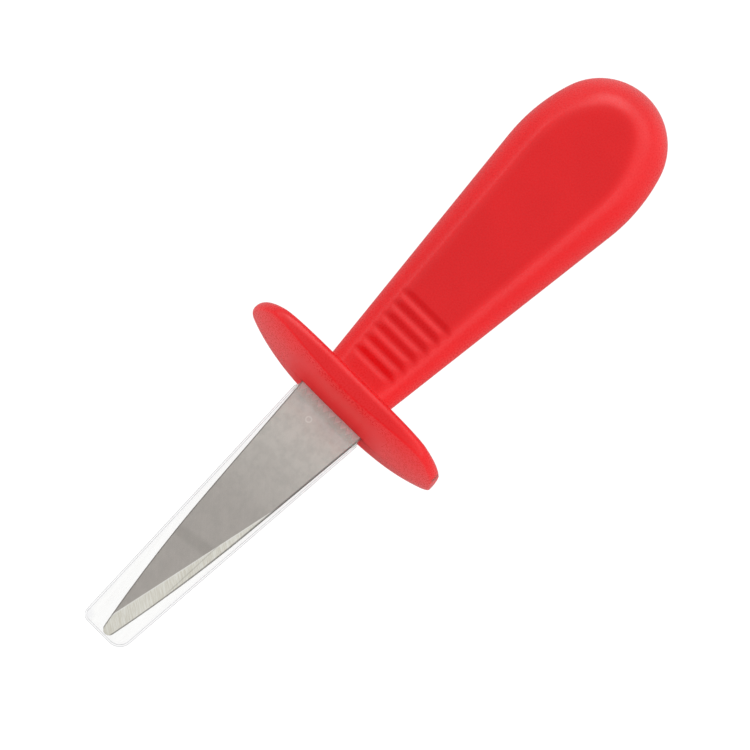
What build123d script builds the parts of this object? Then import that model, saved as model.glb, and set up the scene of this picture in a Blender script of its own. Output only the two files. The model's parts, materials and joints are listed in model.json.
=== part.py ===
from build123d import *
import math
import os

# Oyster knife: one red moulding for grip and hand guard, a stamped lancet blade whose tang
# is moulded into it, and a clear sleeve slipped over the blade.
# The knife is drawn along its own axis: +X runs from the tip to the butt, +Z out of the top
# face, and zero is the flat back of the guard, which carries the neck of the grip.
# At the end it is laid down as it lies on a table, on the guard and the heel of the butt,
# with the table at zero height. All lengths are in millimetres.

# Grip: a bulb that is round in section, with a flat thumb panel on each face
grip_length = 90.6
neck_width = 16.9
bulge_width = 31.6
bulge_setback = 22.5
butt_radius_share = 0.924
neck_thickness = 14.7
bulge_thickness = 25.1
panel_edge_round = 2.0
neck_fillet = 2.4

# Finger ribs: round grooves across both thumb panels
rib_count = 6
rib_pitch = 3.12
rib_depth = 1.0
rib_radius = 1.25
first_rib_distance = 5.9

# Guard: a round disc domed towards the blade, with a flat cut above and below
guard_diameter = 54.4
guard_height = 40.0
guard_edge_round = 2.2
guard_rim_flat = 0.2
guard_dome_rise = 1.8
gate_trim = 0.8

# Blade: straight at the root, then drawn in by a long arc to a small round tip
blade_length = 68.0
blade_thickness = 2.0
blade_root_width = 17.6
blade_straight_length = 31.0
blade_waist_share = 0.705
tip_radius = 1.3
bevel_start = 22.8
bevel_tip_distance = 3.6
cutting_edge_thickness = 0.2

# Tang: the part of the blade inside the moulding, locked by two holes
shoulder_depth = 3.4
tang_width = 10.0
tang_length = 46.0
tang_corner = 1.5
tang_hole_diameter = 4.0
tang_hole_shares = (0.35, 0.78)

# Sleeve: a flat clear tube closed at the tip, with a pinked mouth beside the guard
sleeve_wall = 0.35
sleeve_clearance = 0.3
sleeve_end_width = 11.3
sleeve_end_shift = 0.7
sleeve_tight_corner = 1.8
sleeve_easy_corner = 3.2
sleeve_edge_round_share = 0.7
sleeve_mouth_gap = 0.4
sleeve_tooth_count = 11
sleeve_tooth_depth = 1.4

# How far every cutter runs past what it cuts
overrun = 5.0

# How often the range of resting tilts is halved
tilt_halvings = 12


def mirrored(point):
    """The same point on the other side of the knife's axis."""
    return Vector(point.X, -point.Y, 0)


def arc_into_circle(start, direction, centre, radius):
    """Centre and radius of the arc that leaves start along direction, bends towards the
    knife's axis and touches, from outside, the small circle that ends the outline."""
    inward = Vector(direction.Y, -direction.X, 0).normalized()
    if inward.Y > 0:
        inward = inward * -1
    across = start - centre
    bend = (radius**2 - across.dot(across)) / (2 * (across.dot(inward) + radius))
    return start + inward * bend, bend


def bow(start, end, centre, radius):
    """Arc about centre between two points that lie on it."""
    middle = centre + ((start + end) * 0.5 - centre).normalized() * radius
    return ThreePointArc(start, middle, end)


def face_inside(curves):
    """Flat face bounded by a closed run of curves."""
    edges = [edge for curve in curves for edge in curve.edges()]
    return make_face(Wire(edges))


def plate(outline, thickness):
    """Outline made solid, half of it on each side of the knife's middle plane."""
    return Pos(0, 0, -thickness / 2) * extrude(outline, thickness, dir=(0, 0, 1))


def bulge_place():
    """Where the grip is widest."""
    return grip_length - bulge_setback


def grip_outline():
    """Half of the grip's plan, from the guard to the butt: taper, shoulder, round butt.

    The shoulder is the arc that is level at the bulge and runs smoothly into the butt."""
    bulge_half = bulge_width / 2
    butt_radius = bulge_half * butt_radius_share
    butt_centre = Vector(grip_length - butt_radius, 0, 0)
    reach = butt_centre.X - bulge_place()
    shoulder_radius = (reach**2 + bulge_half**2 - butt_radius**2) / (2 * (bulge_half - butt_radius))
    shoulder_centre = Vector(bulge_place(), bulge_half - shoulder_radius, 0)
    neck = Vector(0, neck_width / 2, 0)
    out = neck - shoulder_centre
    swing = math.atan2(out.Y, out.X) - math.acos(shoulder_radius / out.length)
    spoke = Vector(math.cos(swing), math.sin(swing), 0)
    taper_end = shoulder_centre + spoke * shoulder_radius
    join = shoulder_centre + (butt_centre - shoulder_centre).normalized() * shoulder_radius
    butt = Vector(grip_length, 0, 0)
    lines = [
        Line((0, 0, 0), neck),
        Line(neck, taper_end),
        bow(taper_end, join, shoulder_centre, shoulder_radius),
        bow(join, butt, butt_centre, butt_radius),
        Line(butt, (0, 0, 0)),
    ]
    return face_inside(lines)


def panel_height(x):
    """Height of the thumb panel above the axis, which climbs evenly from the neck."""
    climb = (bulge_thickness - neck_thickness) / 2 / bulge_place()
    return neck_thickness / 2 + climb * x


def grip_body():
    """The bulb turned round and cut by the two thumb panels, with the panels' edges eased."""
    bulb = revolve(grip_outline(), Axis.X)
    far = grip_length + overrun
    near_height = panel_height(0)
    far_height = panel_height(far)
    side = Polyline(
        (0, 0, -near_height), (far, 0, -far_height), (far, 0, far_height), (0, 0, near_height),
        close=True,
    )
    bulb = bulb & extrude(make_face(side), bulge_width, dir=(0, 1, 0), both=True)
    edges = []
    for panel in bulb.faces().filter_by(GeomType.PLANE).sort_by(Axis.X)[-2:]:
        edges += [edge for edge in panel.edges() if edge.center().X > neck_fillet]
    return fillet(edges, panel_edge_round)


def rib_cutters():
    """Round cutters across both thumb panels, each sunk by the depth of the groove."""
    cutters = []
    for index in range(rib_count):
        x = first_rib_distance + index * rib_pitch
        lift = panel_height(x) + rib_radius - rib_depth
        for height in (lift, -lift):
            bar = Cylinder(rib_radius, bulge_width + overrun)
            cutters.append(Pos(x, 0, height) * Rot(90, 0, 0) * bar)
    return cutters


def guard_core():
    """The guard inside its edge rounding: a thin disc, domed in front, cut by its two flats."""
    half = guard_diameter / 2 - guard_edge_round
    radius = (half**2 + guard_dome_rise**2) / (2 * guard_dome_rise)
    back = -guard_edge_round
    rim = Vector(back - guard_rim_flat, half, 0)
    crown = Vector(rim.X - guard_dome_rise, 0, 0)
    profile = face_inside([
        bow(crown, rim, Vector(crown.X + radius, 0, 0), radius),
        Line(rim, (back, half, 0)),
        Line((back, half, 0), (back, 0, 0)),
        Line((back, 0, 0), crown),
    ])
    slab = Box(guard_diameter, guard_diameter, guard_height - 2 * guard_edge_round)
    return revolve(profile, Axis.X) & slab


def guard_body():
    """The core grown on all sides by the edge rounding, with a flat on its -Y end where it
    was cut from the runner."""
    runner = Box(guard_diameter, guard_diameter, guard_diameter)
    place = Pos(0, gate_trim - guard_diameter, 0)
    return offset(guard_core(), amount=guard_edge_round, kind=Kind.ARC) - place * runner


def blade_front():
    """Where the blade leaves the guard: the crown of the dome."""
    return -(2 * guard_edge_round + guard_rim_flat + guard_dome_rise)


def blade_tip():
    return blade_front() - blade_length


def blade_arc():
    """Start, end, centre and radius of the long arc of the blade's +Y edge."""
    root = Vector(blade_front(), blade_root_width / 2, 0)
    waist = Vector(root.X - blade_straight_length, root.Y * blade_waist_share, 0)
    tip_centre = Vector(blade_tip() + tip_radius, 0, 0)
    centre, radius = arc_into_circle(waist, waist - root, tip_centre, tip_radius)
    touch = centre + (tip_centre - centre).normalized() * radius
    return waist, touch, centre, radius


def blade_half_width(x):
    """Half of the blade's width at a place along it, on the straight or on the arc."""
    waist, touch, centre, radius = blade_arc()
    if x > waist.X:
        taper = (blade_root_width / 2 - waist.Y) / blade_straight_length
        return waist.Y + taper * (x - waist.X)
    return centre.Y + math.sqrt(radius**2 - (x - centre.X)**2)


def blade_outline():
    """Blade, shoulder and tang seen from above, as stamped from the strip."""
    waist, touch, centre, radius = blade_arc()
    shoulder = blade_front() + shoulder_depth
    root = Vector(shoulder, blade_half_width(shoulder), 0)
    collar = Vector(shoulder, tang_width / 2, 0)
    end = Vector(shoulder + tang_length, tang_width / 2, 0)
    side = (waist, root, collar, end)
    back = [mirrored(point) for point in side]
    return face_inside([
        bow(waist, touch, centre, radius),
        ThreePointArc(touch, (blade_tip(), 0, 0), mirrored(touch)),
        bow(mirrored(touch), mirrored(waist), mirrored(centre), radius),
        Polyline(*back, *reversed(side)),
    ])


def bevel_cutter():
    """Block that grinds the top face away to a thin edge on the blade's -Y side.

    Its lower face holds a slanting line on the blade's face and falls away towards the
    cutting edge, so the ground facet widens steadily until it takes in the whole tip."""
    face = blade_thickness / 2
    near_x = blade_front() - bevel_start
    far_x = blade_tip() + bevel_tip_distance
    near = Vector(near_x, -blade_half_width(near_x), face)
    far = Vector(far_x, blade_half_width(far_x), face)
    edge = Vector(blade_tip() + tip_radius, -tip_radius, cutting_edge_thickness / 2)
    upward = (near - far).cross(edge - far)
    if upward.Z < 0:
        upward = upward * -1
    ground = Plane(origin=far, x_dir=near - far, z_dir=upward)
    span = 2 * blade_length
    return ground * Box(span, span, blade_thickness, align=(Align.CENTER, Align.CENTER, Align.MIN))


def blade_body():
    """Stamped strip, ground from both faces, with two holes and round corners to its tang."""
    outline = blade_outline()
    outline = fillet(outline.vertices().sort_by(Axis.X)[-2:], tang_corner)
    strip = plate(outline, blade_thickness)
    for share in tang_hole_shares:
        hole = Cylinder(tang_hole_diameter / 2, blade_thickness + overrun)
        strip = strip - Pos(blade_front() + shoulder_depth + share * tang_length, 0, 0) * hole
    bevel = bevel_cutter()
    return strip - bevel - mirror(bevel, Plane.XY)


def sleeve_mouth():
    return blade_front() - sleeve_mouth_gap


def sleeve_half_mouth():
    return blade_half_width(sleeve_mouth()) + sleeve_clearance + sleeve_wall


def sleeve_form(inset):
    """The sleeve as a solid, drawn in by inset all round but at its mouth: a tapered outline
    with one tight corner and one easy, and rolled edges."""
    mouth = sleeve_mouth()
    half = sleeve_half_mouth() - inset
    half_end = sleeve_end_width / 2 - inset
    half_height = blade_thickness / 2 + sleeve_clearance + sleeve_wall - inset
    end = blade_tip() - sleeve_clearance - sleeve_wall + inset
    tight = (end, sleeve_end_shift + half_end)
    easy = (end, sleeve_end_shift - half_end)
    outline = make_face(Polyline((mouth, half), tight, easy, (mouth, -half), close=True))
    for corner, radius in ((tight, sleeve_tight_corner), (easy, sleeve_easy_corner)):
        outline = fillet(outline.vertices().sort_by_distance(corner)[0], radius - inset)
    blank = plate(outline, 2 * half_height)
    rims = []
    for face in (blank.faces().sort_by(Axis.Z)[0], blank.faces().sort_by(Axis.Z)[-1]):
        rims += [edge for edge in face.edges() if edge.center().X < mouth - sleeve_wall]
    return fillet(rims, half_height * sleeve_edge_round_share)


def pinking_cutter():
    """Zigzag block that pinks the sleeve's mouth, with a whole tooth at the middle."""
    mouth = sleeve_mouth()
    step = sleeve_half_mouth() / sleeve_tooth_count
    reach = sleeve_tooth_count + 1
    points = [(mouth + overrun, -reach * step)]
    for index in range(-reach, reach + 1):
        depth = sleeve_tooth_depth * (index % 2)
        points.append((mouth - depth, index * step))
    points.append((mouth + overrun, reach * step))
    return plate(make_face(Polyline(*points, close=True)), blade_thickness + overrun)


def sleeve_body():
    """Hollow, open at the mouth, with a pinked edge."""
    return sleeve_form(0) - sleeve_form(sleeve_wall) - pinking_cutter()


def handle_body(grip, guard, blade):
    """Grip and guard as one ribbed moulding, filled in round the tang and through its holes."""
    handle = grip + guard
    back = handle.faces().filter_by(Axis.X).sort_by(SortBy.AREA)[-1]
    neck = [edge for ring in back.inner_wires() for edge in ring.edges()]
    return fillet(neck, neck_fillet) - rib_cutters() - blade


def resting_tilt(grip, guard):
    """Angle in degrees at which the guard and the butt touch the table together.

    The butt is too high while the tilt is too small, so the range is halved towards it."""
    low = 0
    high = math.degrees(math.asin(guard_height / 2 / grip_length))
    for halving in range(tilt_halvings):
        tilt = (low + high) / 2
        grip_foot = (Rot(0, tilt, 0) * grip).bounding_box().min.Z
        guard_foot = (Rot(0, tilt, 0) * guard).bounding_box().min.Z
        if grip_foot > guard_foot:
            low = tilt
        else:
            high = tilt
    return tilt


grip = grip_body()
guard = guard_body()
blade = blade_body()
knife = {
    "handle": handle_body(grip, guard, blade),
    "blade": blade,
    "blade_sleeve": sleeve_body(),
}

# Laid down to rest, with zero under the middle of its bounding box
lay = Rot(0, resting_tilt(grip, guard), 0)
laid = {name: lay * piece for name, piece in knife.items()}
box = Compound(list(laid.values())).bounding_box()
settle = Pos(-box.center().X, -box.center().Y, -box.min.Z)

os.makedirs("parts", exist_ok=True)
for name, piece in laid.items():
    export_step(settle * piece, f"parts/{name}.step")
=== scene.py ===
import json
import math

import bmesh
import bpy
from mathutils import Matrix, Vector


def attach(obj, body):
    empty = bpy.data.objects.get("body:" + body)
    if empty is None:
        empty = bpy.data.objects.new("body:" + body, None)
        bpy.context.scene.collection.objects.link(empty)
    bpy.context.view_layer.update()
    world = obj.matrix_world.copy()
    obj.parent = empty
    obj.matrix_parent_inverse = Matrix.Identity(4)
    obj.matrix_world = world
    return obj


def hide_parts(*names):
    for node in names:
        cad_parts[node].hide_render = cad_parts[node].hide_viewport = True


# Oyster knife on a pale floor, seen from almost straight above. Lengths are in metres.
# Many places are given in the knife's own frame: x runs from the tip to the butt, y is
# across, z is out of the top face, and zero is the flat back of the guard on the axis.
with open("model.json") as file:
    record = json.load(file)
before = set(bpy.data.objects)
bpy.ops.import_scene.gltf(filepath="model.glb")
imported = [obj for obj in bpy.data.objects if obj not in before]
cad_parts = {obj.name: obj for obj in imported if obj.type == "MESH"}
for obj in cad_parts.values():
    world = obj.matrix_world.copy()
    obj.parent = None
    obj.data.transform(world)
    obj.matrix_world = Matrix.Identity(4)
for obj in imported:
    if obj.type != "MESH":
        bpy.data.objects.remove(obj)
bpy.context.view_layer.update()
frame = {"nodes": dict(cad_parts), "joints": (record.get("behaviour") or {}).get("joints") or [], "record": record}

MM = 0.001

# The moulding's own sizes, which follow the CAD part's
grip_length = 90.59 * MM
neck_width = 16.9 * MM
neck_thickness = 14.7 * MM
neck_fillet = 2.4 * MM
bulge_width = 31.6 * MM
bulge_thickness = 25.1 * MM
bulge_setback = 22.5 * MM
rib_count = 6
rib_pitch = 3.12 * MM
rib_depth = 0.74 * MM
ribs_start = 4.35 * MM
guard_radius = 27.18 * MM
guard_height = 39.8 * MM
guard_thickness = 6.4 * MM
guard_edge_round = 2.2 * MM
guard_rise = 1.4 * MM
guard_gate_y = -26.4 * MM
panel_soft = 0.8 * MM
guard_corner_soft = 6.0 * MM
guard_flat_edge = 0.4 * MM
guard_side_edge = 1.2 * MM
seam_depth = 0.07 * MM
lengthwise_step = 1.2 * MM

# The moulding's shares, powers, slope and angle
butt_radius_share = 0.924
groove_bottom_soft = 0.55
groove_crest_soft = 0.18
guard_draft = 0.026
guard_rise_power = 2.7
guard_dome_power = 3.5
sharp_edge_angle = math.radians(38)

# The knife's own sizes that the finish follows
blade_length = 68.0 * MM
blade_root_width = 17.6 * MM
blade_waist_width = 12.41 * MM
blade_waist_distance = 31.0 * MM
blade_tip_radius = 1.3 * MM
bevel_start = 22.8 * MM
bevel_tip_distance = 3.6 * MM
bevel_start_y = -6.86 * MM
bevel_tip_y = 1.79 * MM
sleeve_half_height = 1.65 * MM

# How the photograph sees the knife
picture_side_px = 750
picture_px_per_metre = 4683
picture_axis_angle = math.radians(44.59)
anchor_px = (347.3, 394.7)
anchor_x = -1.49 * MM
camera_lean_along = -0.163
camera_lean_across = -0.081
camera_distance = 1.3
sensor_width_mm = 36


def knife_matrix():
    """Row frame from knife frame: turned by the sleeve's pull, zero on the guard's back."""
    along = -Vector(frame["joints"][0]["axis"])
    across = Vector((0, 1, 0))
    up = along.cross(across)
    places = {mount["name"]: Vector(mount["pos_m"]) for mount in frame["record"]["mounts"]}
    middle = (places["guard_flat_lower"] + places["guard_flat_upper"]) / 2
    tip = min((vertex.co - middle).dot(along) for vertex in frame["nodes"]["blade"].data.vertices)
    matrix = Matrix((along, across, up)).transposed().to_4x4()
    matrix.translation = middle + along * (tip + blade_length + guard_thickness)
    return matrix


knife = knife_matrix()


# Shader helpers

def add_node(tree, kind, inputs=(), **settings):
    """A node with its settings made and its inputs set or linked."""
    made = tree.nodes.new(kind)
    for name, value in settings.items():
        setattr(made, name, value)
    for key, value in dict(inputs).items():
        if isinstance(value, bpy.types.NodeSocket):
            tree.links.new(value, made.inputs[key])
        else:
            made.inputs[key].default_value = value
    return made


def maths(tree, operation, *values):
    return add_node(tree, "ShaderNodeMath", enumerate(values), operation=operation).outputs[0]


def smooth_step(tree, value, low, high, start=0.0, end=1.0):
    """start below low, end above high, and a smooth change between them."""
    inputs = {"Value": value, "From Min": low, "From Max": high, "To Min": start, "To Max": end}
    made = add_node(tree, "ShaderNodeMapRange", inputs, interpolation_type="SMOOTHSTEP")
    return made.outputs["Result"]


def noise(tree, place, scale, detail=2.0, roughness=0.5):
    """Noise value from 0 to 1 with scale features to each unit of place."""
    inputs = {"Vector": place, "Scale": scale, "Detail": detail, "Roughness": roughness}
    return add_node(tree, "ShaderNodeTexNoise", inputs).outputs["Fac"]


def mix_colour(tree, share, first, second):
    made = add_node(tree, "ShaderNodeMix", {"Factor": share}, data_type="RGBA")
    for name, value in (("A", first), ("B", second)):
        socket = [s for s in made.inputs if s.name == name and s.type == "RGBA"][0]
        if isinstance(value, bpy.types.NodeSocket):
            tree.links.new(value, socket)
        else:
            socket.default_value = (*value, 1.0)
    return [s for s in made.outputs if s.type == "RGBA"][0]


def knife_place(tree):
    """Place in the knife frame, in millimetres, that rides with the piece."""
    place = add_node(tree, "ShaderNodeTexCoord").outputs["Object"]
    turn = knife.to_3x3().transposed()
    inputs = {
        "Vector": place,
        "Location": -(turn @ knife.translation) / MM,
        "Rotation": turn.to_euler(),
        "Scale": (1 / MM, 1 / MM, 1 / MM),
    }
    return add_node(tree, "ShaderNodeMapping", inputs).outputs["Vector"]


def split(tree, vector):
    return add_node(tree, "ShaderNodeSeparateXYZ", {0: vector}).outputs


def stretched(tree, place, size, turn=0.0):
    """Place for a noise whose features have this size, the first along a direction turned in plan."""
    inputs = {"Vector": place, "Rotation": (0, 0, turn), "Scale": size}
    return add_node(tree, "ShaderNodeMapping", inputs, vector_type="TEXTURE").outputs["Vector"]


def band(tree, value, middle, half_width, soft):
    """1 within half_width of middle, falling to 0 over soft."""
    off = maths(tree, "ABSOLUTE", maths(tree, "SUBTRACT", value, middle))
    return smooth_step(tree, off, half_width, half_width + soft, 1.0, 0.0)


def distance(tree, place, point):
    inputs = {0: place, 1: point}
    return add_node(tree, "ShaderNodeVectorMath", inputs, operation="DISTANCE").outputs["Value"]


def times(tree, *values):
    product = values[0]
    for value in values[1:]:
        product = maths(tree, "MULTIPLY", product, value)
    return product


def bump(tree, height, distance, strength=1.0):
    inputs = {"Height": height, "Distance": distance, "Strength": strength}
    return add_node(tree, "ShaderNodeBump", inputs).outputs["Normal"]


def empty_tree(owner):
    """The cleared node tree of a new material or world."""
    owner.use_nodes = True
    owner.node_tree.nodes.clear()
    return owner.node_tree


def new_material(name):
    """Material with one Principled shader, its node tree and that shader."""
    material = bpy.data.materials.new(name)
    tree = empty_tree(material)
    shader = add_node(tree, "ShaderNodeBsdfPrincipled")
    add_node(tree, "ShaderNodeOutputMaterial", {"Surface": shader.outputs[0]})
    return material, tree, shader


def feed(tree, shader, **sockets):
    """Links or sets the shader's inputs; an underscore in a name stands for a space."""
    for name, value in sockets.items():
        key = name.replace("_", " ")
        if isinstance(value, bpy.types.NodeSocket):
            tree.links.new(value, shader.inputs[key])
        else:
            shader.inputs[key].default_value = value


def paint(piece, material):
    piece.data.materials.clear()
    piece.data.materials.append(material)


# The moulding is one closed skin through rings of points, from the butt to the guard's crown

def soft_least(first, second, reach):
    """The smaller of two lengths, rounded off where they come within reach of each other."""
    near = max(0.0, 1 - abs(first - second) / reach)
    return min(first, second) - reach * near**2 / 4


def ring_angles():
    """Even steps round the axis, with a close pair on each side of both parting lines."""
    count = 192
    seam_half = 0.005
    angles = [2 * math.pi * step / count for step in range(count)]
    for seam in (0.0, math.pi):
        angles += [(seam + seam_half) % (2 * math.pi), (seam - seam_half) % (2 * math.pi)]
    return sorted(angles)


def bulb_radius(x):
    """Radius of the bulb at a place along it: straight taper, shoulder arc, round butt."""
    half = bulge_width / 2
    butt = half * butt_radius_share
    butt_x = grip_length - butt
    bulge_x = grip_length - bulge_setback
    reach = butt_x - bulge_x
    shoulder = (reach**2 + half**2 - butt**2) / (2 * (half - butt))
    out = Vector((-bulge_x, neck_width / 2 - half + shoulder))
    swing = math.atan2(out.y, out.x) - math.acos(shoulder / out.length)
    taper_end = Vector((bulge_x + shoulder * math.cos(swing), half - shoulder + shoulder * math.sin(swing)))
    join_x = butt_x + reach / math.hypot(reach, shoulder - half) * butt
    if x < taper_end.x:
        return neck_width / 2 + (taper_end.y - neck_width / 2) * x / taper_end.x
    if x < join_x:
        return half - shoulder + math.sqrt(shoulder**2 - (x - bulge_x)**2)
    return math.sqrt(max(0.0, butt**2 - (x - butt_x)**2))


def panel_height(x):
    """Height of the thumb panel, with its rounded grooves and the narrow crests between them."""
    climb = (bulge_thickness - neck_thickness) / 2 / (grip_length - bulge_setback)
    phase = (x - ribs_start) / rib_pitch
    groove = 0.0
    if 0 < phase < rib_count:
        rise = soft_least(2 * (phase % 1), 2 - 2 * (phase % 1), groove_bottom_soft)
        groove = math.hypot(rise, groove_crest_soft) - groove_crest_soft
    return neck_thickness / 2 + climb * x - rib_depth * groove


def flattened_ring(x, radius, height, soft, angles):
    """A circle cut off softly above and below, at a place along the knife."""
    ring = []
    least_rise = 0.02
    for angle in angles:
        flat_radius = height / max(abs(math.sin(angle)), least_rise)
        reach = soft_least(radius, flat_radius, soft)
        ring.append(Vector((x, reach * math.cos(angle), reach * math.sin(angle))))
    return ring


def grip_ring(x, angles):
    """The bulb, cut above and below by the thumb panels."""
    return flattened_ring(x, bulb_radius(x), panel_height(x), panel_soft, angles)


def guard_core(angles):
    """The guard's outline inside its edge rounding, and the direction out of it at each point."""
    round_part = guard_radius - guard_edge_round
    flat_part = guard_height / 2 - guard_edge_round
    core = flattened_ring(0, round_part, flat_part, guard_corner_soft, angles)
    outward = []
    for index in range(len(core)):
        run = core[(index + 1) % len(core)] - core[index - 1]
        outward.append(Vector((0, run.z, -run.y)).normalized())
    return core, outward


def guard_face(rim, share):
    """Point of the domed face that lies over share of the way out to a point of the rim."""
    place = rim * share
    rise = guard_rise * (rim.length / (guard_height / 2))**guard_rise_power
    depth = guard_thickness - rise * share**guard_dome_power - guard_draft * abs(place.z)
    return Vector((-depth, place.y, place.z))


def guard_front_edge(rim, outward, steps):
    """Points round the front edge, from the rim to the face: sharp at the flats, softer at the sides."""
    flat = guard_height / 2
    wide = min(1.0, max(0.0, (abs(rim.y) - flat / 2) / flat))
    soft = guard_flat_edge + (guard_side_edge - guard_flat_edge) * wide
    inset = 0.01
    corner = guard_face(rim, 1.0)
    inner = guard_face(rim, 1 - inset)
    lean = math.atan((corner.x - inner.x) / (rim.length * inset))
    middle_x = corner.x - soft * math.tan(lean) + soft / math.cos(lean)
    points = []
    for step in range(steps + 1):
        turn = (math.pi / 2 - lean) * step / steps
        point = Vector((middle_x - soft * math.sin(turn), rim.y, rim.z))
        points.append(point - outward * soft * (1 - math.cos(turn)))
    return points


def guard_rings(neck, angles):
    """Back face, rear rounding, rim, front edge and domed face, each ring joined to the one before."""
    back_shares = (0.25, 0.5, 0.75, 1.0)
    face_shares = (0.95, 0.9, 0.84, 0.78, 0.71, 0.64, 0.56, 0.48, 0.4, 0.3, 0.2, 0.1)
    steps = 8
    core, outward = guard_core(angles)
    rings = []
    for share in back_shares:
        rings.append([start.lerp(end, share) for start, end in zip(neck, core)])
    for step in range(1, steps + 1):
        turn = math.pi / 2 * (1 - step / steps)
        push = Vector((guard_edge_round * (math.sin(turn) - 1), 0, 0))
        rings.append([p + push + n * guard_edge_round * math.cos(turn) for p, n in zip(core, outward)])
    rims = [p + n * guard_edge_round for p, n in zip(core, outward)]
    edges = [guard_front_edge(rim, direction, steps) for rim, direction in zip(rims, outward)]
    rings += [[edge[step] for edge in edges] for step in range(steps + 1)]
    for share in face_shares:
        rings.append([guard_face(rim, share) for rim in rims])
    return rings


def grip_places():
    """Where the grip's rings stand: close together on the butt and over the ribs."""
    butt_steps = 40
    rib_steps = 20
    neck_steps = 4
    butt = bulge_width / 2 * butt_radius_share
    arc = [math.pi / 2 * step / butt_steps for step in range(1, butt_steps + 1)]
    places = [grip_length - butt + butt * math.cos(turn) for turn in arc]
    ribs_end = ribs_start + rib_count * rib_pitch
    taper = ribs_end - places[-1]
    count = int(-taper / lengthwise_step)
    places += [places[-1] + taper * step / count for step in range(1, count)]
    places += [ribs_end - rib_pitch / rib_steps * step for step in range(rib_count * rib_steps + 1)]
    neck = ribs_start - neck_fillet
    places += [ribs_start - neck * step / neck_steps for step in range(1, neck_steps + 1)]
    return places


def neck_rings(angles):
    """The fillet that flares from the grip's neck into the guard's back."""
    rings = []
    steps = 8
    for step in range(1, steps + 1):
        turn = math.pi / 2 * step / steps
        ring = grip_ring(neck_fillet * (1 - math.sin(turn)), angles)
        flare = neck_fillet * (1 - math.cos(turn))
        rings.append([p + Vector((0, p.y, p.z)).normalized() * flare for p in ring])
    return rings


def moulding():
    """Grip and guard as one skin, trimmed at the gate, with a fine parting line at mid height."""
    angles = ring_angles()
    rings = [grip_ring(x, angles) for x in grip_places()]
    rings += neck_rings(angles)
    rings += guard_rings(rings[-1], angles)

    mesh = bmesh.new()
    start = mesh.verts.new((grip_length, 0, 0))
    end = mesh.verts.new((-guard_thickness, 0, 0))
    loops = [[mesh.verts.new(point) for point in ring] for ring in rings]
    count = len(angles)
    for index in range(count):
        after = (index + 1) % count
        mesh.faces.new((start, loops[0][index], loops[0][after]))
        mesh.faces.new((end, loops[-1][after], loops[-1][index]))
        for near, far in zip(loops, loops[1:]):
            mesh.faces.new((near[index], far[index], far[after], near[after]))
    bmesh.ops.recalc_face_normals(mesh, faces=mesh.faces)
    mesh.normal_update()
    for loop in loops:
        for index, angle in enumerate(angles):
            if angle in (0.0, math.pi):
                loop[index].co -= loop[index].normal * seam_depth
    for vertex in mesh.verts:
        vertex.co.y = max(vertex.co.y, guard_gate_y)
    mesh.normal_update()
    for face in mesh.faces:
        face.smooth = True
    for edge in mesh.edges:
        edge.smooth = edge.calc_face_angle(0.0) < sharp_edge_angle
    mesh.transform(knife)
    data = bpy.data.meshes.new("moulding")
    mesh.to_mesh(data)
    mesh.free()
    piece = bpy.data.objects.new("moulding", data)
    bpy.context.scene.collection.objects.link(piece)
    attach(piece, "knife")
    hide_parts("handle")
    return piece


# Materials

def red_plastic():
    """Semi-gloss moulded plastic: faint flow clouds, fine orange peel, a scorched gate mark, and painted shade
    round the blade's root and along the parting line.
    """
    red = (0.795, 0.010, 0.013)
    clouded_red = (0.765, 0.009, 0.012)
    blade_shade_red = (0.66, 0.008, 0.010)
    seam_shade_red = (0.22, 0.006, 0.006)
    scorched_brown = (0.16, 0.03, 0.012)
    scorch_height = 6.2
    peel_height = 0.010 * MM

    material, tree, shader = new_material("red_plastic")
    place = knife_place(tree)
    x, y, z = split(tree, place)
    clouds = noise(tree, place, 0.12, 3.0)
    grain = noise(tree, place, 2.2, 4.0, 0.6)
    cloudy = smooth_step(tree, clouds, 0.3, 0.7)
    pure = mix_colour(tree, cloudy, red, clouded_red)
    # Painted shade: the red is darkened on the guard's front face round the blade, where the blade shades it; the
    # roughness there is raised as well.
    around_blade = times(tree, band(tree, y, 0.0, 6.0, 9.0), band(tree, z, 0.0, 3.0, 15.0))
    around_blade = times(tree, around_blade, smooth_step(tree, x, -5.0, -3.8, 1.0, 0.0))
    pure = mix_colour(tree, times(tree, around_blade, 0.8), pure, blade_shade_red)
    # Painted shade: a dark red line along the parting line at mid height, stronger on the guard, standing for the
    # shade in its fine groove.
    seam = band(tree, z, 0.0, 0.03, 0.10)
    on_guard = smooth_step(tree, x, -0.5, 1.5, 0.75, 0.25)
    pure = mix_colour(tree, times(tree, seam, on_guard), pure, seam_shade_red)
    gate = band(tree, y, guard_gate_y / MM, 0.12, 0.3)
    corner = band(tree, maths(tree, "ABSOLUTE", z), scorch_height, 0.4, 0.7)
    uneven = smooth_step(tree, noise(tree, place, 0.8), 0.35, 0.5, 0.3, 0.9)
    colour = mix_colour(tree, times(tree, gate, corner, uneven), pure, scorched_brown)
    peel = maths(tree, "ADD", grain, maths(tree, "MULTIPLY", noise(tree, place, 0.7), 2.0))
    gloss = smooth_step(tree, grain, 0.2, 0.8, 0.24, 0.32)
    feed(
        tree, shader,
        Base_Color=colour,
        Roughness=maths(tree, "MULTIPLY_ADD", around_blade, 0.40, gloss),
        Normal=bump(tree, peel, peel_height, 0.2),
        IOR=1.38,
    )
    return material


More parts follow.
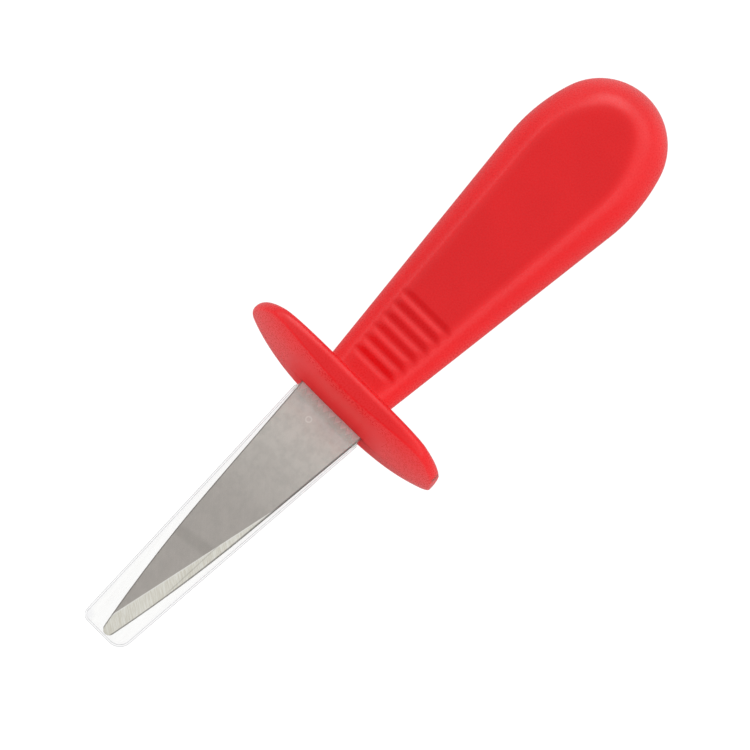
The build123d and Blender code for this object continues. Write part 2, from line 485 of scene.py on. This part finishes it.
def blade_edge_distance(tree, x, y):
    """How far inside the blade's outline a point lies, in millimetres."""
    root_x = -guard_thickness / MM
    waist = Vector((root_x - blade_waist_distance / MM, blade_waist_width / MM / 2))
    slope = (blade_root_width / MM / 2 - waist.y) / (blade_waist_distance / MM)
    tip = Vector((root_x - (blade_length - blade_tip_radius) / MM, 0))
    inward = Vector((slope, -1)).normalized()
    across = waist - tip
    tip_radius = blade_tip_radius / MM
    bend = (tip_radius**2 - across.length_squared) / (2 * (across.dot(inward) + tip_radius))
    centre = waist + inward * bend
    run = maths(tree, "SUBTRACT", x, centre.x)
    arc = maths(tree, "SQRT", maths(tree, "SUBTRACT", bend**2, maths(tree, "MULTIPLY", run, run)))
    arc = maths(tree, "ADD", arc, centre.y)
    line = maths(tree, "MULTIPLY_ADD", x, slope, waist.y - slope * waist.x)
    straight = maths(tree, "GREATER_THAN", x, waist.x)
    half = maths(tree, "MULTIPLY_ADD", maths(tree, "SUBTRACT", line, arc), straight, arc)
    return maths(tree, "SUBTRACT", half, maths(tree, "ABSOLUTE", y))


def bevel_distance(tree, x, y):
    """How far a point lies on the ground side of the bevel's upper line, in millimetres."""
    root_x = -guard_thickness / MM
    near = Vector((root_x - bevel_start / MM, bevel_start_y / MM))
    far = Vector((root_x - (blade_length - bevel_tip_distance) / MM, bevel_tip_y / MM))
    along = (near - far).normalized()
    inward = Vector((along.y, -along.x))
    from_x = maths(tree, "MULTIPLY", x, inward.x)
    both = maths(tree, "MULTIPLY_ADD", y, inward.y, from_x)
    return maths(tree, "SUBTRACT", both, inward.dot(far))


def blade_steel():
    """Rolled stainless strip with painted light and shade: darker towards the tip and lighter by the guard, a
    painted glint round a small dent, a bevel ground across the edge with a painted highlight along its upper line
    and painted shade in a facet line, and painted shade along the blade's rim.
    """
    shaded_tip_steel = (0.530, 0.495, 0.464)
    lit_root_steel = (0.79, 0.755, 0.705)
    lit_steel_by_guard = (0.74, 0.85, 0.82)
    streak_grey = (0.26, 0.24, 0.22)
    rolled_white = (0.98, 0.93, 0.87)
    mottle_grey = (0.40, 0.38, 0.36)
    dent_glint_white = (1.0, 1.0, 0.95)
    ground_dark = (0.84, 0.81, 0.71)
    ground_light = (1.0, 0.99, 0.92)
    bevel_glint_white = (1.0, 0.99, 0.95)
    facet_shade_grey = (0.45, 0.42, 0.37)
    edge_shade_grey = (0.16, 0.15, 0.14)
    streak_x = -47.0
    streak_slope = 0.16
    dimple_place = (-11.3, 1.95, 1.0)
    facet_slope = 0.0348
    facet_offset = 5.26
    roll_direction = 0.7
    grind_direction = math.radians(57)
    scratch_height = 0.004 * MM

    material, tree, shader = new_material("blade_steel")
    place = knife_place(tree)
    x, y, _ = split(tree, place)
    edge = blade_edge_distance(tree, x, y)
    ground_by = bevel_distance(tree, x, y)
    rolled = noise(tree, stretched(tree, place, (9.0, 0.25, 1.0), roll_direction), 1.0, 3.0, 0.6)
    patches = noise(tree, place, 0.10, 3.0)
    marks = noise(tree, stretched(tree, place, (5.0, 0.22, 1.0), grind_direction), 1.0, 3.0, 0.65)

    # Painted light and shade: the steel is darker towards the tip and lighter towards the guard, with random
    # patches breaking up the change.
    painted_light_along = smooth_step(tree, maths(tree, "MULTIPLY_ADD", patches, -9.0, x), -44.0, -10.0)
    flat = mix_colour(tree, painted_light_along, shaded_tip_steel, lit_root_steel)
    # Painted light: the bare steel next to the guard is made lighter and cooler than the same steel further out.
    by_guard = smooth_step(tree, x, -12.0, -7.0)
    flat = mix_colour(tree, by_guard, flat, lit_steel_by_guard)
    streak = band(tree, maths(tree, "MULTIPLY_ADD", y, streak_slope, x), streak_x, 0.5, 1.6)
    flat = mix_colour(tree, times(tree, streak, 0.25), flat, streak_grey)
    flat = mix_colour(tree, smooth_step(tree, rolled, 0.35, 0.75, 0.0, 0.06), flat, rolled_white)
    mottle = noise(tree, place, 0.55, 4.0, 0.6)
    flat = mix_colour(tree, smooth_step(tree, mottle, 0.35, 0.7, 0.0, 0.24), flat, mottle_grey)
    # Painted highlight: a bright ring round a small dent.
    ring = band(tree, distance(tree, place, dimple_place), 0.62, 0.06, 0.14)
    flat = mix_colour(tree, times(tree, ring, 0.6), flat, dent_glint_white)

    bright = mix_colour(tree, smooth_step(tree, marks, 0.35, 0.65), ground_dark, ground_light)
    broken = smooth_step(tree, marks, 0.3, 0.6, 0.4, 1.0)
    # Painted highlight: a broken bright line along the bevel's upper edge.
    line = times(tree, band(tree, ground_by, 0.16, 0.05, 0.16), broken)
    bright = mix_colour(tree, line, bright, bevel_glint_white)
    # Painted shade: a faint dark line along a second facet on the bevel, part way along the blade.
    off_facet = maths(tree, "MULTIPLY_ADD", x, facet_slope, maths(tree, "ADD", y, facet_offset))
    where = times(tree, smooth_step(tree, x, -61.0, -57.0), smooth_step(tree, x, -44.0, -40.0, 1.0, 0.0))
    facet_shade = times(tree, band(tree, off_facet, 0.0, 0.05, 0.14), where, 0.35)
    bright = mix_colour(tree, facet_shade, bright, facet_shade_grey)

    ground = smooth_step(tree, ground_by, -0.04, 0.06)
    colour = mix_colour(tree, ground, flat, bright)
    # Painted shade: a dark border just inside the blade's outline, where its rounded edges turn away.
    rim = smooth_step(tree, edge, 0.08, 0.36, 0.75, 0.0)
    colour = mix_colour(tree, rim, colour, edge_shade_grey)
    relief = maths(tree, "MULTIPLY_ADD", marks, ground, times(tree, rolled, 0.3))
    feed(
        tree, shader,
        Base_Color=colour,
        Metallic=1.0,
        Roughness=smooth_step(tree, rolled, 0.3, 0.7, 0.30, 0.36),
        Normal=bump(tree, relief, scratch_height, 0.5),
    )
    return material


def clear_film():
    """Clear glossy film, a little grey at its edges, where it is seen along its face and at its
    weld, and milky at its mouth."""
    film_ior = 1.12
    clear_tint = (0.978, 0.978, 0.975)
    creased_tint = (0.964, 0.964, 0.960)
    rolled_tint = (0.955, 0.955, 0.958)
    welded_tint = (0.952, 0.952, 0.955)
    along_tint = (0.80, 0.81, 0.82)
    milky_tint = (0.70, 0.88, 0.78, 1.0)
    weld_place = (-73.9, 5.3, 0.0)
    wrinkle_height = 0.10 * MM

    material = bpy.data.materials.new("clear_film")
    tree = empty_tree(material)
    place = knife_place(tree)
    x, _, z = split(tree, place)
    height = maths(tree, "ABSOLUTE", z)
    top = sleeve_half_height / MM
    rolled = smooth_step(tree, height, top - 0.75, top - 0.05, 1.0, 0.0)
    creased = noise(tree, stretched(tree, place, (7.0, 1.2, 1.2), 0.15), 1.0, 3.0, 0.6)
    creased = smooth_step(tree, creased, 0.35, 0.75)
    colour = mix_colour(tree, creased, clear_tint, creased_tint)
    colour = mix_colour(tree, rolled, colour, rolled_tint)
    welded = smooth_step(tree, distance(tree, place, weld_place), 1.5, 2.1, 1.0, 0.0)
    colour = mix_colour(tree, welded, colour, welded_tint)
    wrinkles = noise(tree, stretched(tree, place, (14.0, 2.5, 2.5), 0.3), 1.0, 2.0)
    normal = bump(tree, wrinkles, wrinkle_height, 0.35)
    gloss = add_node(tree, "ShaderNodeBsdfAnisotropic", {"Roughness": 0.08, "Normal": normal}).outputs[0]
    back_side = add_node(tree, "ShaderNodeNewGeometry").outputs["Backfacing"]
    bending = maths(tree, "MULTIPLY_ADD", back_side, 1 / film_ior - film_ior, film_ior)
    mirror = add_node(tree, "ShaderNodeFresnel", {"IOR": bending, "Normal": normal}).outputs[0]
    colour = mix_colour(tree, smooth_step(tree, mirror, 0.01, 0.35), colour, along_tint)
    clear = add_node(tree, "ShaderNodeBsdfTransparent", {"Color": colour}).outputs[0]
    both = add_node(tree, "ShaderNodeMixShader", {0: mirror, 1: clear, 2: gloss}).outputs[0]
    milky = add_node(tree, "ShaderNodeBsdfDiffuse", {"Color": milky_tint}).outputs[0]
    at_mouth = smooth_step(tree, x, -9.6, -8.4, 0.0, 0.11)
    whole = add_node(tree, "ShaderNodeMixShader", {0: at_mouth, 1: both, 2: milky}).outputs[0]
    add_node(tree, "ShaderNodeOutputMaterial", {"Surface": whole})
    return material


def pale_floor():
    """White table that glows a little where it is seen directly or through the film, so that
    shadows on it stay faint as in a light tent. All other light meets a matt table with painted
    shadow and light on it: darker by the knife, lighter beyond the butt."""
    shadowed_by_knife = 0.50
    lit_beyond_butt = 0.80
    seen_grey = (0.14, 0.14, 0.14, 1.0)
    seen_glow = 0.97

    material = bpy.data.materials.new("pale_floor")
    tree = empty_tree(material)
    x = split(tree, add_node(tree, "ShaderNodeTexCoord").outputs["Object"])[0]
    # Painted shadow and light on the table for bounced and mirrored light: darker by the knife, lighter beyond the
    # butt.
    white = smooth_step(tree, x, 0.07, 0.12, shadowed_by_knife, lit_beyond_butt)
    plain = add_node(tree, "ShaderNodeBsdfDiffuse", {"Color": white}).outputs[0]
    grey = add_node(tree, "ShaderNodeBsdfDiffuse", {"Color": seen_grey}).outputs[0]
    glow = add_node(tree, "ShaderNodeEmission", {"Strength": seen_glow}).outputs[0]
    seen = add_node(tree, "ShaderNodeAddShader", {0: grey, 1: glow}).outputs[0]
    ray = add_node(tree, "ShaderNodeLightPath").outputs
    direct = maths(tree, "MAXIMUM", ray["Is Camera Ray"], ray["Is Transmission Ray"])
    both = add_node(tree, "ShaderNodeMixShader", {0: direct, 1: plain, 2: seen}).outputs[0]
    add_node(tree, "ShaderNodeOutputMaterial", {"Surface": both})
    return material


# The moulding stands for its CAD node; the blade and the sleeve are the CAD nodes themselves

paint(moulding(), red_plastic())
paint(frame["nodes"]["blade"], blade_steel())
paint(frame["nodes"]["blade_sleeve"], clear_film())


# Stage, light and camera

def stage_floor():
    mesh = bpy.data.meshes.new("floor")
    half = 3.0
    corners = [(-half, -half, 0), (half, -half, 0), (half, half, 0), (-half, half, 0)]
    mesh.from_pydata(corners, [], [(0, 1, 2, 3)])
    floor = bpy.data.objects.new("floor", mesh)
    bpy.context.scene.collection.objects.link(floor)
    mesh.materials.append(pale_floor())


def studio_world():
    """Soft tent: brighter towards the butt, darker towards the tip, white near the horizon, with
    one large window whose light shows more in reflections than on matt faces."""
    overhead = 0.65
    lengthwise_slope = 0.36
    side_gain = 0.33
    horizon_gain = 0.35
    tip_loss = 0.2
    window_direction = (0.80, 0.48, 0.36)
    window_matt = 0.45
    window_mirrored = 1.50
    butt_matt = -0.25
    butt_mirrored = 1.0

    world = bpy.data.worlds.new("studio")
    tree = empty_tree(world)
    direction = add_node(tree, "ShaderNodeTexCoord").outputs["Generated"]
    along, across, height = split(tree, direction)
    side = maths(tree, "ABSOLUTE", maths(tree, "ADD", across, 0.1))
    level = maths(tree, "MULTIPLY_ADD", along, lengthwise_slope, overhead)
    level = maths(tree, "ADD", level, smooth_step(tree, side, 0.10, 0.65, 0.0, side_gain))
    level = maths(tree, "ADD", level, smooth_step(tree, height, 0.02, 0.45, horizon_gain, 0.0))
    level = maths(tree, "SUBTRACT", level, smooth_step(tree, along, -0.6, -0.25, tip_loss, 0.0))
    facing = {0: direction, 1: window_direction}
    window = add_node(tree, "ShaderNodeVectorMath", facing, operation="DOT_PRODUCT").outputs["Value"]
    mirrored = add_node(tree, "ShaderNodeLightPath").outputs["Is Glossy Ray"]
    glare = maths(tree, "MULTIPLY_ADD", mirrored, window_mirrored - window_matt, window_matt)
    level = maths(tree, "ADD", level, times(tree, glare, smooth_step(tree, window, 0.84, 0.98)))
    glare = maths(tree, "MULTIPLY_ADD", mirrored, butt_mirrored - butt_matt, butt_matt)
    level = maths(tree, "ADD", level, times(tree, glare, smooth_step(tree, along, 0.5, 0.97)))
    white = (1.0, 1.0, 1.0, 1.0)
    shade = add_node(tree, "ShaderNodeBackground", {"Strength": level, "Color": white})
    add_node(tree, "ShaderNodeOutputWorld", {"Surface": shade.outputs[0]})
    bpy.context.scene.world = world


def soft_light(name, place, size, power):
    """Large soft lamp that looks at the knife and doesn't mirror in it."""
    data = bpy.data.lights.new(name, "AREA")
    data.shape = "DISK"
    data.size = size
    data.energy = power
    lamp = bpy.data.objects.new(name, data)
    lamp.location = place
    lamp.rotation_mode = "QUATERNION"
    lamp.rotation_quaternion = Vector(place).to_track_quat("Z", "Y")
    lamp.visible_glossy = False
    bpy.context.scene.collection.objects.link(lamp)


def photo_camera():
    """Camera whose picture has the anchor point, the knife's axis and the scale of the photograph."""
    along, across, up = [knife.to_3x3().col[i] for i in range(3)]
    rest = math.sqrt(1 - camera_lean_along**2 - camera_lean_across**2)
    back = along * camera_lean_along + across * camera_lean_across + up * rest
    flat = (along - back * along.dot(back)).normalized()
    right = Matrix.Rotation(-picture_axis_angle, 3, back) @ flat
    upward = back.cross(right)
    middle_px = picture_side_px / 2
    aim = knife @ Vector((anchor_x, 0, 0))
    aim += right * ((middle_px - anchor_px[0]) / picture_px_per_metre)
    aim += upward * ((anchor_px[1] - middle_px) / picture_px_per_metre)
    data = bpy.data.cameras.new("photo_camera")
    data.sensor_width = sensor_width_mm
    data.lens = sensor_width_mm * camera_distance * picture_px_per_metre / picture_side_px
    data.clip_start = camera_distance / 100
    data.clip_end = camera_distance * 10
    camera = bpy.data.objects.new("photo_camera", data)
    turn = Matrix((right, upward, back)).transposed().to_4x4()
    turn.translation = aim + back * camera_distance
    camera.matrix_world = turn
    bpy.context.scene.collection.objects.link(camera)
    bpy.context.scene.camera = camera


stage_floor()
studio_world()
soft_light("soft_right", place=(0.10, -0.9, 0.14), size=0.5, power=3.8)
soft_light("soft_far", place=(0.10, 0.9, 0.14), size=0.5, power=1.8)
soft_light("soft_left", place=(-0.85, 0.1, 0.13), size=0.4, power=4.0)
photo_camera()
bpy.context.scene.view_settings.view_transform = "Standard"
